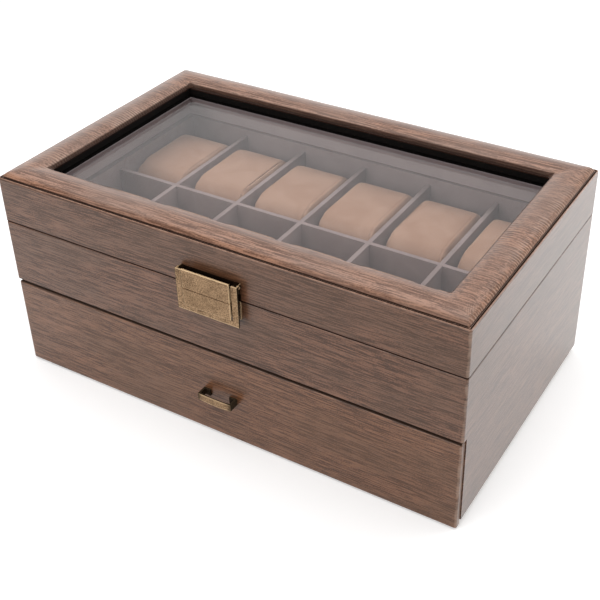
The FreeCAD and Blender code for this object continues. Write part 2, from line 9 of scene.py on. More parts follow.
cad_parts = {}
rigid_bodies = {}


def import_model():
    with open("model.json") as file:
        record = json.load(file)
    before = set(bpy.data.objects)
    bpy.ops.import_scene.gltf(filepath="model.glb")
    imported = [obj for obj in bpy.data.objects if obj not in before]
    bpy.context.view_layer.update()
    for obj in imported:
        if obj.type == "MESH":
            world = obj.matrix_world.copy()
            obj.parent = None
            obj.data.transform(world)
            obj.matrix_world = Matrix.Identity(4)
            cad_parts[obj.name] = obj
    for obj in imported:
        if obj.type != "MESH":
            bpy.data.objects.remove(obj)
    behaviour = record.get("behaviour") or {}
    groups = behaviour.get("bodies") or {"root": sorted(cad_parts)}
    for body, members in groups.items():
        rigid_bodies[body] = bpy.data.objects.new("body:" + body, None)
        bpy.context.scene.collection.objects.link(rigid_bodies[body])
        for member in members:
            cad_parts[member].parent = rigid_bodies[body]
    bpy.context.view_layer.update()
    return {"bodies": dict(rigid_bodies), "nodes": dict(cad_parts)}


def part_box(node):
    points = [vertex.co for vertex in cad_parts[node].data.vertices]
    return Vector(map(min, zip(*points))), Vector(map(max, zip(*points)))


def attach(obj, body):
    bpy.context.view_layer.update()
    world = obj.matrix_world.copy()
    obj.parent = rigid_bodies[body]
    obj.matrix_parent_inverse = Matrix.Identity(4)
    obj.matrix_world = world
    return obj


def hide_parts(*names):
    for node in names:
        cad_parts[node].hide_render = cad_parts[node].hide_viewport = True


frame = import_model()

bl_info = {
    "name": "Watch box with drawer",
    "version": (1, 0, 0),
    "blender": (4, 5, 0),
    "location": "View3D > Sidebar > Watch Box",
    "description": "Leather, velvet, suede, glass and brass for a watch box with a drawer",
    "category": "Object",
}

MM = 0.001
BODIES = frame["bodies"]
NODES = frame["nodes"]


# Colours and sizes


def linear(red, green, blue):
    """A colour as it is seen on a screen, from 0 to 255, turned into the light that it stands for."""
    def channel(value):
        value /= 255
        return value / 12.92 if value <= 0.04045 else ((value + 0.055) / 1.055) ** 2.4
    return (channel(red), channel(green), channel(blue))


def colour_property(name, description, seen):
    return FloatVectorProperty(name=name, description=description, subtype="COLOR", size=3,
                               min=0.0, max=1.0, default=linear(*seen))


def length_property(name, description, millimetres):
    return FloatProperty(name=name, description=description, unit="LENGTH", precision=5,
                         default=millimetres * MM)


class WatchBoxColours(bpy.types.PropertyGroup):
    """The colours of the leathers, linings and metals."""
    walnut_light: colour_property("Walnut light", "Light streaks of the wood-grain leather", (114, 75, 52))
    walnut_dark: colour_property("Walnut dark", "Dark streaks of the wood-grain leather", (62, 36, 19))
    walnut_grey: colour_property("Walnut grey", "Grey patches of the wood-grain leather", (78, 53, 35))
    drawer_light: colour_property("Drawer light", "Light streaks of the drawer's leather", (120, 78, 50))
    drawer_dark: colour_property("Drawer dark", "Dark streaks of the drawer's leather", (68, 39, 19))
    drawer_grey: colour_property("Drawer grey", "Grey patches of the drawer's leather", (88, 58, 34))
    pad_light: colour_property("Pad light", "Light streaks of the padded top", (156, 116, 94))
    pad_dark: colour_property("Pad dark", "Dark streaks of the padded top", (96, 67, 53))
    pad_grey: colour_property("Pad grey", "Grey patches of the padded top", (126, 102, 90))
    edge: colour_property("Edge", "Turned leather edge that shows its brown core", (150, 116, 96))
    # Pale leather: wear along the edges, and painted highlight on lit edges, the drawer's top edge and the pad's
    # pleat ridges.
    wear_and_highlight: colour_property("Worn edge and highlight", "Leather rubbed pale along the edges of the box", (186, 158, 138))
    # Painted shade in creases, seams and gaps, and the colour of the strip that paints the crease's shadow.
    crease: colour_property("Painted crease shade", "Dark gap where the leather is tucked in", (40, 21, 12))
    velvet: colour_property("Velvet", "Pile of the tray lining", (140, 124, 123))
    velvet_tip: colour_property("Velvet tips", "Brushed tips of the pile", (156, 140, 139))
    # Painted light: the lid's lining is the grey velvet painted lighter, to make up for the shade it lies in.
    lid_velvet_lightened: colour_property("Lid velvet", "Pile of the lining inside the lid", (156, 143, 144))
    lid_velvet_tip_lightened: colour_property("Lid velvet tips", "Brushed tips of the lid's pile", (166, 153, 154))
    # Painted shade on the lip, which catches more light than the walls.
    lid_lip_shade: colour_property("Lid lip", "Pile on the lip under the glass", (130, 121, 124))
    suede: colour_property("Suede", "Nap of the pillow suede", (178, 144, 124))
    suede_rubbed: colour_property("Suede rubbed", "Rubbed patches of the pillow suede", (166, 130, 109))
    brass: colour_property("Brass", "Bright antique brass", (166, 137, 106))
    brass_dark: colour_property("Brass patina", "Dark patina of the antique brass", (66, 47, 31))
    # Rubbed brass, also used as painted highlight along the edges of the latch and the pull.
    brass_rubbed_and_lit: colour_property("Rubbed and lit brass", "Brass rubbed bright along its edges", (214, 188, 152))


class WatchBoxSizes(bpy.types.PropertyGroup):
    """Sizes of the detail that the leather and the sewing add."""
    pad_inner_radius: length_property("Window corner", "Radius of the padded frame at the window's corners", 5.0)
    pad_outer_radius: length_property("Outer corner", "Radius of the padded frame at its outer corners", 1.6)
    pad_crown: FloatProperty(name="Crown", description="Share of the pad's height that is its crown",
                             subtype="FACTOR", min=0.0, max=1.0, default=0.56)
    pad_roll: FloatProperty(name="Edge roll", description="Share of the pad's width that each edge rolls over",
                            subtype="FACTOR", min=0.01, max=0.5, default=0.1)
    pleat_pitch: length_property("Pleat pitch", "Mean distance between the pleats", 2.4)
    pleat_depth: length_property("Pleat depth", "Depth of the pleats at the edge of the pad", 0.18)
    pleat_reach: FloatProperty(name="Pleat reach", description="Share of the pad's width that the pleats run over",
                               subtype="FACTOR", min=0.05, max=1.0, default=0.5)
    bead_radius: length_property("Edge bead", "Radius of the turned leather edge round the lid", 0.3)
    seam_depth: length_property("Seam depth", "How far the pillow's side seams draw in", 0.5)


class WatchBoxStage(bpy.types.PropertyGroup):
    """The camera and the lamps."""
    camera_place: FloatVectorProperty(name="Camera place", description="Where the camera stands",
                                      subtype="TRANSLATION", unit="LENGTH", size=3, precision=5,
                                      default=(0.32986, -0.50963, 0.47567))
    camera_azimuth: FloatProperty(name="Azimuth", description="Camera's turn to the right of the front",
                                  subtype="ANGLE", unit="ROTATION", default=math.radians(30.41))
    camera_elevation: FloatProperty(name="Elevation", description="Camera's angle above the ground",
                                    subtype="ANGLE", unit="ROTATION", default=math.radians(33.09))
    camera_roll: FloatProperty(name="Roll", description="Camera's turn about its own line of sight",
                               subtype="ANGLE", unit="ROTATION", default=math.radians(-0.49))
    camera_lens: FloatProperty(name="Lens", description="Focal length in millimetres on a 36 mm sensor",
                               default=64.81)
    camera_shift: FloatVectorProperty(name="Shift", description="Camera shift across and up",
                                      size=2, default=(-0.0664, -0.0679))
    key_power: FloatProperty(name="Key power", description="Watts of the softbox on the right", default=6.0)
    top_power: FloatProperty(name="Top power", description="Watts of the softbox overhead", default=23.0)
    front_power: FloatProperty(name="Front power", description="Watts of the softbox in front", default=7.5)
    sky: FloatProperty(name="Sky", description="Light of the surroundings on the object", default=0.42)


def colours():
    return bpy.context.scene.watch_box_colours


def sizes():
    return bpy.context.scene.watch_box_sizes


def stage_settings():
    return bpy.context.scene.watch_box_stage


# Shader nodes


def add(tree, kind, inputs=None, **attributes):
    """A node with its settings, and each input given as a value or as the socket that feeds it."""
    made = tree.nodes.new(kind)
    for name, value in attributes.items():
        setattr(made, name, value)
    for name, value in (inputs or {}).items():
        if isinstance(value, bpy.types.NodeSocket):
            tree.links.new(value, made.inputs[name])
        elif isinstance(made.inputs[name].default_value, float) or isinstance(value, (int, str)):
            made.inputs[name].default_value = value
        elif len(made.inputs[name].default_value) == 4 and len(value) == 3:
            made.inputs[name].default_value = (*value, 1.0)
        else:
            made.inputs[name].default_value = value
    return made


def maths(tree, operation, first, second=0.5, clamp=False):
    return add(tree, "ShaderNodeMath", {0: first, 1: second}, operation=operation, use_clamp=clamp).outputs[0]


def blend(tree, share, first, second, mode="MIX"):
    """Two colours mixed by a share."""
    made = add(tree, "ShaderNodeMix", data_type="RGBA", blend_type=mode)
    for index, value in ((0, share), (6, first), (7, second)):
        if isinstance(value, bpy.types.NodeSocket):
            tree.links.new(value, made.inputs[index])
        elif index == 0:
            made.inputs[index].default_value = value
        else:
            made.inputs[index].default_value = (*value[:3], 1.0)
    return made.outputs[2]


def ramp(tree, value, low, high, start=0.0, end=1.0):
    """A value stretched from one range to another, smooth at both ends."""
    made = add(tree, "ShaderNodeMapRange",
               {"Value": value, "From Min": low, "From Max": high, "To Min": start, "To Max": end},
               interpolation_type="SMOOTHSTEP")
    return made.outputs[0]


def speckle(tree, vector, scale, detail=2.0, roughness=0.5, distortion=0.0):
    made = add(tree, "ShaderNodeTexNoise",
               {"Vector": vector, "Scale": scale, "Detail": detail, "Roughness": roughness,
                "Distortion": distortion})
    return made.outputs["Fac"]


def stretched(tree, vector, scale, place=(0.0, 0.0, 0.0)):
    return add(tree, "ShaderNodeMapping", {"Vector": vector, "Scale": scale, "Location": place}).outputs[0]


def new_group(name, inputs, outputs):
    """A shader node group with named sockets, given as name, kind and default value."""
    tree = bpy.data.node_groups.new(name, "ShaderNodeTree")
    for title, kind, value in inputs:
        socket = tree.interface.new_socket(name=title, in_out="INPUT", socket_type=kind)
        if value is not None:
            socket.default_value = value
    for title, kind in outputs:
        tree.interface.new_socket(name=title, in_out="OUTPUT", socket_type=kind)
    return tree, tree.nodes.new("NodeGroupInput").outputs, tree.nodes.new("NodeGroupOutput").inputs


def use_group(tree, name, inputs):
    made = tree.nodes.new("ShaderNodeGroup")
    made.node_tree = bpy.data.node_groups[name]
    for title, value in inputs.items():
        if isinstance(value, bpy.types.NodeSocket):
            tree.links.new(value, made.inputs[title])
        elif isinstance(value, (int, float)):
            made.inputs[title].default_value = value
        elif made.inputs[title].type == "RGBA":
            made.inputs[title].default_value = (*value[:3], 1.0)
        else:
            made.inputs[title].default_value = value
    return made.outputs


def make_wood_print_group():
    """Wood grain printed and pressed into leather. X of the vector runs along the grain."""
    tree, given, result = new_group(
        "Wood print",
        [("Vector", "NodeSocketVector", None), ("Light", "NodeSocketColor", (0.4, 0.3, 0.2, 1.0)),
         ("Dark", "NodeSocketColor", (0.1, 0.06, 0.04, 1.0)), ("Grey", "NodeSocketColor", (0.2, 0.2, 0.2, 1.0)),
         ("Streaks", "NodeSocketFloat", 1.0)],
        [("Colour", "NodeSocketColor"), ("Height", "NodeSocketFloat"), ("Roughness", "NodeSocketFloat"),
         ("Gloss", "NodeSocketFloat")])
    vector = given["Vector"]
    wander = speckle(tree, stretched(tree, vector, (7.0, 30.0, 30.0)), 1.0, 2.0)
    shifted = add(tree, "ShaderNodeCombineXYZ", {"Y": maths(tree, "MULTIPLY", wander, 0.006)}).outputs[0]
    grain = add(tree, "ShaderNodeVectorMath", {0: vector, 1: shifted}, operation="ADD").outputs[0]
    fine = speckle(tree, stretched(tree, grain, (60.0, 1450.0, 1450.0)), 1.0, 3.0, 0.65)
    medium = speckle(tree, stretched(tree, grain, (22.0, 760.0, 760.0)), 1.0, 3.0, 0.6)
    broad = speckle(tree, stretched(tree, grain, (8.0, 150.0, 150.0)), 1.0, 3.0, 0.5)
    patches = speckle(tree, stretched(tree, vector, (11.0, 34.0, 34.0), (3.1, 1.7, 0.4)), 1.0, 3.0, 0.55)
    pores = speckle(tree, stretched(tree, grain, (170.0, 1500.0, 1500.0), (0.3, 0.9, 0.2)), 1.0, 1.0)
    mixed = maths(tree, "ADD", maths(tree, "MULTIPLY", fine, 0.56), maths(tree, "MULTIPLY", medium, 0.3))
    mixed = maths(tree, "ADD", mixed, maths(tree, "MULTIPLY", broad, 0.14))
    hide = speckle(tree, vector, 900.0, 2.0, 0.6)
    mixed = maths(tree, "ADD", mixed, maths(tree, "MULTIPLY", maths(tree, "SUBTRACT", hide, 0.5), 0.16))
    streaks = ramp(tree, mixed, 0.44, 0.56)
    base = blend(tree, streaks, given["Dark"], given["Light"])
    base = blend(tree, maths(tree, "MULTIPLY", ramp(tree, patches, 0.42, 0.62), 0.45), base, given["Grey"])
    pore_mask = maths(tree, "MULTIPLY", ramp(tree, pores, 0.58, 0.68), given["Streaks"])
    tree.links.new(blend(tree, maths(tree, "MULTIPLY", pore_mask, 0.6), base, given["Dark"]), result["Colour"])
    height = maths(tree, "SUBTRACT", maths(tree, "ADD", fine, maths(tree, "MULTIPLY", medium, 0.6)), pore_mask)
    tree.links.new(height, result["Height"])
    tree.links.new(ramp(tree, mixed, 0.3, 0.7, 0.46, 0.34), result["Roughness"])
    tree.links.new(ramp(tree, mixed, 0.43, 0.57, 0.62, 1.0), result["Gloss"])


def make_band_group():
    """A band about a level line, such as a seam, for painted shade and painted highlights. 1 on the line, 0 beyond
    the reach.
    """
    tree, given, result = new_group(
        "Band", [("Vector", "NodeSocketVector", None), ("Level", "NodeSocketFloat", 0.0),
                 ("Core", "NodeSocketFloat", 0.0005), ("Reach", "NodeSocketFloat", 0.001)],
        [("Mask", "NodeSocketFloat")])
    up = add(tree, "ShaderNodeSeparateXYZ", {0: given["Vector"]}).outputs["Z"]
    away = maths(tree, "ABSOLUTE", maths(tree, "SUBTRACT", up, given["Level"]))
    tree.links.new(ramp(tree, away, given["Core"], given["Reach"], 1.0, 0.0), result["Mask"])


def make_inset_group():
    """How far in a place is from the nearest of a box's four sides."""
    tree, given, result = new_group(
        "Inset", [("Vector", "NodeSocketVector", None), ("Low", "NodeSocketVector", (0.0, 0.0, 0.0)),
                  ("High", "NodeSocketVector", (0.0, 0.0, 0.0))],
        [("Distance", "NodeSocketFloat")])
    from_low = add(tree, "ShaderNodeVectorMath", {0: given["Vector"], 1: given["Low"]}, operation="SUBTRACT")
    from_high = add(tree, "ShaderNodeVectorMath", {0: given["High"], 1: given["Vector"]}, operation="SUBTRACT")
    nearest = add(tree, "ShaderNodeVectorMath", {0: from_low.outputs[0], 1: from_high.outputs[0]},
                  operation="MINIMUM").outputs[0]
    axes = add(tree, "ShaderNodeSeparateXYZ", {0: nearest}).outputs
    tree.links.new(maths(tree, "MINIMUM", axes["X"], axes["Y"]), result["Distance"])


def make_corner_group():
    """Wear and a painted highlight along the four uprights of a box that is given by its middle and half sizes."""
    tree, given, result = new_group(
        "Corner wear and highlight", [("Vector", "NodeSocketVector", None), ("Middle", "NodeSocketFloat", 0.0),
                        ("Half width", "NodeSocketFloat", 0.1), ("Half depth", "NodeSocketFloat", 0.1)],
        [("Mask", "NodeSocketFloat")])
    axes = add(tree, "ShaderNodeSeparateXYZ", {0: given["Vector"]}).outputs
    across = maths(tree, "SUBTRACT", given["Half width"], maths(tree, "ABSOLUTE", axes["X"]))
    depth = maths(tree, "ABSOLUTE", maths(tree, "SUBTRACT", axes["Y"], given["Middle"]))
    away = maths(tree, "ADD", across, maths(tree, "SUBTRACT", given["Half depth"], depth))
    rubbed = speckle(tree, given["Vector"], 160.0, 3.0, 0.6)
    reach = maths(tree, "MULTIPLY", rubbed, 0.003)
    near = maths(tree, "SUBTRACT", 1.0, maths(tree, "DIVIDE", away, reach), clamp=True)
    tree.links.new(near, result["Mask"])


def make_pile_group():
    """The nap of velvet or suede: brushed patches over a fine pile."""
    tree, given, result = new_group(
        "Brushed pile",
        [("Vector", "NodeSocketVector", None), ("Pile", "NodeSocketColor", (0.1, 0.1, 0.1, 1.0)),
         ("Tips", "NodeSocketColor", (0.2, 0.2, 0.2, 1.0)), ("Patch size", "NodeSocketFloat", 40.0)],
        [("Colour", "NodeSocketColor"), ("Height", "NodeSocketFloat")])
    brushed = speckle(tree, given["Vector"], given["Patch size"], 3.0, 0.6, 0.6)
    fibre = speckle(tree, given["Vector"], 2600.0, 2.0, 0.6)
    share = maths(tree, "ADD", maths(tree, "MULTIPLY", ramp(tree, brushed, 0.30, 0.70), 0.85),
                  maths(tree, "MULTIPLY", fibre, 0.15))
    tree.links.new(blend(tree, share, given["Pile"], given["Tips"]), result["Colour"])
    tree.links.new(fibre, result["Height"])


def make_patina_group():
    """Antique metal: rubbed high places, dark speckled hollows and fine scratches."""
    tree, given, result = new_group(
        "Patina",
        [("Vector", "NodeSocketVector", None), ("Bright", "NodeSocketColor", (0.7, 0.5, 0.2, 1.0)),
         ("Dull", "NodeSocketColor", (0.1, 0.06, 0.03, 1.0)), ("Age", "NodeSocketFloat", 0.5)],
        [("Colour", "NodeSocketColor"), ("Roughness", "NodeSocketFloat"), ("Height", "NodeSocketFloat")])
    clouds = speckle(tree, given["Vector"], 180.0, 3.0, 0.6)
    spots = speckle(tree, given["Vector"], 1300.0, 3.0, 0.75)
    dull = maths(tree, "ADD", ramp(tree, clouds, 0.38, 0.66, 0.1, 0.35), ramp(tree, spots, 0.42, 0.60, 0.0, 0.7))
    dull = maths(tree, "MULTIPLY", dull, given["Age"], clamp=True)
    tree.links.new(blend(tree, dull, given["Bright"], given["Dull"]), result["Colour"])
    tree.links.new(maths(tree, "ADD", maths(tree, "MULTIPLY", dull, 0.3), 0.38), result["Roughness"])
    tree.links.new(maths(tree, "SUBTRACT", 1.0, dull), result["Height"])


def make_edge_rub_and_highlight_group():
    """Wear and painted highlight: brightness along the edges of a plate that faces the front, given by its lowest
    and highest corners.
    """
    tree, given, result = new_group(
        "Edge rub and highlight", [("Vector", "NodeSocketVector", None), ("Low", "NodeSocketVector", (0.0, 0.0, 0.0)),
                     ("High", "NodeSocketVector", (0.0, 0.0, 0.0)), ("Width", "NodeSocketFloat", 0.0004)],
        [("Mask", "NodeSocketFloat")])
    from_low = add(tree, "ShaderNodeVectorMath", {0: given["Vector"], 1: given["Low"]}, operation="SUBTRACT")
    from_high = add(tree, "ShaderNodeVectorMath", {0: given["High"], 1: given["Vector"]}, operation="SUBTRACT")
    nearest = add(tree, "ShaderNodeVectorMath", {0: from_low.outputs[0], 1: from_high.outputs[0]},
                  operation="MINIMUM").outputs[0]
    axes = add(tree, "ShaderNodeSeparateXYZ", {0: nearest}).outputs
    away = maths(tree, "MINIMUM", axes["X"], axes["Z"])
    tree.links.new(ramp(tree, away, 0.0, given["Width"], 1.0, 0.0), result["Mask"])


def new_material(name):
    """An empty material with its output, its Principled shader and the piece's own coordinates."""
    material = bpy.data.materials.new(name)
    material.use_nodes = True
    tree = material.node_tree
    tree.nodes.clear()
    output = tree.nodes.new("ShaderNodeOutputMaterial")
    shader = tree.nodes.new("ShaderNodeBsdfPrincipled")
    tree.links.new(shader.outputs[0], output.inputs["Surface"])
    place = tree.nodes.new("ShaderNodeTexCoord").outputs["Object"]
    return material, tree, shader, output, place


def set_inputs(tree, shader, inputs):
    for name, value in inputs.items():
        if isinstance(value, bpy.types.NodeSocket):
            tree.links.new(value, shader.inputs[name])
        else:
            shader.inputs[name].default_value = value


def bump(tree, height, strength, distance):
    return add(tree, "ShaderNodeBump", {"Height": height, "Strength": strength, "Distance": distance}).outputs[0]


def walls_vector(tree, place, node):
    """Grain that goes level round all four walls of a node, and along each side of its rims."""
    low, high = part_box(node)
    axes = add(tree, "ShaderNodeSeparateXYZ", {0: place}).outputs
    along = maths(tree, "ADD", axes["X"], axes["Y"])
    wall = add(tree, "ShaderNodeCombineXYZ", {"X": along, "Y": axes["Z"]}).outputs[0]
    from_side = maths(tree, "SUBTRACT", high.x, maths(tree, "ABSOLUTE", axes["X"]))
    depth = maths(tree, "ABSOLUTE", maths(tree, "SUBTRACT", axes["Y"], (low.y + high.y) / 2))
    from_front = maths(tree, "SUBTRACT", (high.y - low.y) / 2, depth)
    beside = maths(tree, "LESS_THAN", from_side, from_front)
    turned = add(tree, "ShaderNodeCombineXYZ", {"X": axes["Y"], "Y": axes["X"]}).outputs[0]
    rim = blend(tree, beside, place, turned)
    rise = maths(tree, "ABSOLUTE", maths(tree, "SUBTRACT", axes["Z"], (low.z + high.z) / 2))
    on_rim = maths(tree, "GREATER_THAN", rise, (high.z - low.z) / 2 - 0.06 * MM)
    return blend(tree, on_rim, wall, rim)


def wood_leather(name, light, dark, grey, vector_of, offset, relief=0.25, gloss=1.0, finish=None):
    """Printed leather. The finish may lay turned edges, wear, painted highlights and painted shade in seams and
    creases over the grain's colour; where it paints shade, the coat comes off too.
    """
    material, tree, shader, output, place = new_material(name)
    vector = stretched(tree, vector_of(tree, place), (1.0, 1.0, 1.0), offset)
    grain = use_group(tree, "Wood print", {"Vector": vector, "Light": light, "Dark": dark, "Grey": grey})
    colour = grain["Colour"]
    roughness = grain["Roughness"]
    facing = tree.nodes.new("ShaderNodeLayerWeight").outputs["Facing"]
    coat = maths(tree, "MULTIPLY", maths(tree, "MAXIMUM", grain["Gloss"], ramp(tree, facing, 0.35, 0.6)), gloss)
    if finish:
        colour, shade = finish(tree, place, colour)
        roughness = maths(tree, "MAXIMUM", roughness, shade)
        coat = maths(tree, "MULTIPLY", maths(tree, "SUBTRACT", 1.0, shade), coat)
    set_inputs(tree, shader, {
        "Base Color": colour, "Roughness": roughness, "Specular IOR Level": 0.15,
        "Coat Weight": coat, "Coat Roughness": 0.28, "Coat IOR": 1.4,
        "Sheen Weight": 0.15, "Sheen Roughness": 0.35,
        "Normal": bump(tree, grain["Height"], relief, 0.0004)})
    return material


def band(tree, place, level, core, reach):
    return use_group(tree, "Band", {"Vector": place, "Level": level, "Core": core, "Reach": reach})["Mask"]


def inset(tree, place, node):
    low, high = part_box(node)
    return use_group(tree, "Inset", {"Vector": place, "Low": low, "High": high})["Distance"]


# Wear and painted highlight: the uprights are painted pale, as if their rounded edges caught the light.
def corner_wear_and_highlight(tree, place, colour, node, over):
    low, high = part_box(node)
    mask = use_group(tree, "Corner wear and highlight", {
        "Vector": place, "Middle": (low.y + high.y) / 2, "Half width": high.x,
        "Half depth": (high.y - low.y) / 2})["Mask"]
    return blend(tree, maths(tree, "MULTIPLY", mask, 0.7), colour, over)


def pile_material(name, pile, tips, patch_size, sheen, sheen_tint, relief, finish=None):
    material, tree, shader, output, place = new_material(name)
    nap = use_group(tree, "Brushed pile", {"Vector": place, "Pile": pile, "Tips": tips, "Patch size": patch_size})
    colour = finish(tree, place, nap["Colour"]) if finish else nap["Colour"]
    set_inputs(tree, shader, {
        "Base Color": colour, "Roughness": 0.95, "Specular IOR Level": 0.15,
        "Sheen Weight": sheen, "Sheen Roughness": 0.4, "Sheen Tint": (*sheen_tint, 1.0),
        "Normal": bump(tree, nap["Height"], relief, 0.0003)})
    return material


def metal_material(name, bright, dull, age, relief, shade_mask_of=None, rubbed=None):
    """Antique metal, rubbed bright along the edges of a node with a painted highlight there, and painted shade
    where a mask says.
    """
    material, tree, shader, output, place = new_material(name)
    metal = use_group(tree, "Patina", {"Vector": place, "Bright": bright, "Dull": dull, "Age": age})
    colour = metal["Colour"]
    roughness = metal["Roughness"]
    # Edges painted bright: rubbed wear and a painted highlight where they catch the light.
    if rubbed:
        low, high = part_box(rubbed)
        edge = use_group(tree, "Edge rub and highlight", {"Vector": place, "Low": low, "High": high, "Width": 0.55 * MM})["Mask"]
        colour = blend(tree, maths(tree, "MULTIPLY", edge, 0.8), colour, colours().brass_rubbed_and_lit)
        roughness = maths(tree, "MAXIMUM", roughness, maths(tree, "MULTIPLY", edge, 0.7))
    # Painted shade: dark brown where the given mask lies.
    if shade_mask_of:
        shade_mask = shade_mask_of(tree, place)
        colour = blend(tree, shade_mask, colour, linear(30, 20, 12))
        roughness = maths(tree, "MAXIMUM", roughness, maths(tree, "MULTIPLY", shade_mask, 0.9))
    set_inputs(tree, shader, {
        "Base Color": colour, "Roughness": roughness, "Metallic": 1.0,
        "Normal": bump(tree, metal["Height"], relief, 0.0002)})
    return material


def plain_material(name, light, dark, scale, roughness, relief=0.2, shine=0.5):
    """A plain part whose colour and surface still vary a little."""
    material, tree, shader, output, place = new_material(name)
    mottle = speckle(tree, place, scale, 4.0, 0.6)
    set_inputs(tree, shader, {
        "Base Color": blend(tree, ramp(tree, mottle, 0.35, 0.65), dark, light),
        "Roughness": ramp(tree, mottle, 0.3, 0.7, roughness - 0.05, roughness + 0.08),
        "Specular IOR Level": shine,
        "Normal": bump(tree, mottle, relief, 0.0002)})
    return material


def paint(names, material):
    """Gives CAD nodes a better material in the slots that they have."""
    for name in names:
        for slot in NODES[name].material_slots:
            slot.material = material


# Meshes


def new_piece(name, mesh_builder, material, body, replaced=(), smooth=True):
    """A mesh object built in the row frame, painted and riding on its body."""
    shape = bmesh.new()
    mesh_builder(shape)
    mesh = bpy.data.meshes.new(name)
    shape.to_mesh(mesh)
    shape.free()
    for polygon in mesh.polygons:
        polygon.use_smooth = smooth
    piece = bpy.data.objects.new(name, mesh)
    bpy.context.scene.collection.objects.link(piece)
    piece.data.materials.append(material)
    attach(piece, body)
    if replaced:
        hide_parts(*replaced)
    return piece


def rounded_face(shape, low, high, inset, radius, height):
    """A level rectangle drawn in by inset, with rounded corners, as one face."""
    corners = [shape.verts.new((x, y, height)) for x, y in (
        (low.x + inset, low.y + inset), (high.x - inset, low.y + inset),
        (high.x - inset, high.y - inset), (low.x + inset, high.y - inset))]
    shape.faces.new(corners)
    bmesh.ops.bevel(shape, geom=corners, affect="VERTICES", offset=radius, offset_type="OFFSET",
                    segments=6, profile=0.5, material=-1)
    shape.faces.ensure_lookup_table()
    return shape.faces[0]


def rounded_loop(shape, low, high, inset, radius, height, across_cuts, depth_cuts):
    """The edges round such a rectangle, with its long sides divided, and no face in it."""
    face = rounded_face(shape, low, high, inset, radius, height)
    longest = sorted(face.edges, key=lambda edge: edge.calc_length())[-4:]
    for edge in longest:
        level = abs(edge.verts[0].co.y - edge.verts[1].co.y) < 1e-7
        bmesh.ops.subdivide_edges(shape, edges=[edge], cuts=across_cuts if level else depth_cuts)
    loop = list(face.edges)
    bmesh.ops.delete(shape, geom=[face], context="FACES_ONLY")
    return loop


def ring_of_loops(shape, low, high, profile, across_cuts, depth_cuts):
    """Bridges level loops, one for each inset, radius and height of a closed profile."""
    loops = [rounded_loop(shape, low, high, inset, radius, height, across_cuts, depth_cuts)
             for inset, radius, height in profile]
    for first, second in zip(loops, loops[1:] + loops[:1]):
        bmesh.ops.bridge_loops(shape, edges=first + second)
    bmesh.ops.recalc_face_normals(shape, faces=shape.faces[:])


def raised_ring(shape, low, high, inset, radius, width, bottom, top, rounding=0.0):
    """A closed strip that runs round a rectangle, with its long edges rounded."""
    face = rounded_face(shape, low, high, inset, radius, bottom)
    bmesh.ops.inset_region(shape, faces=[face], thickness=width, use_even_offset=True,
                              use_boundary=True)
    bmesh.ops.delete(shape, geom=[face], context="FACES_ONLY")
    raised = bmesh.ops.extrude_face_region(shape, geom=shape.faces[:], use_keep_orig=True)
    verts = [part for part in raised["geom"] if isinstance(part, bmesh.types.BMVert)]
    bmesh.ops.translate(shape, verts=verts, vec=(0, 0, top - bottom))
    bmesh.ops.recalc_face_normals(shape, faces=shape.faces[:])
    if rounding:
        along = [edge for edge in shape.edges if edge.is_manifold and edge.calc_face_angle() > 1.0
                 and abs(edge.verts[0].co.z - edge.verts[1].co.z) < 1e-7]
        bmesh.ops.bevel(shape, geom=along, affect="EDGES", offset=rounding, offset_type="OFFSET",
                        segments=4, profile=0.5, material=-1)


# Pieces


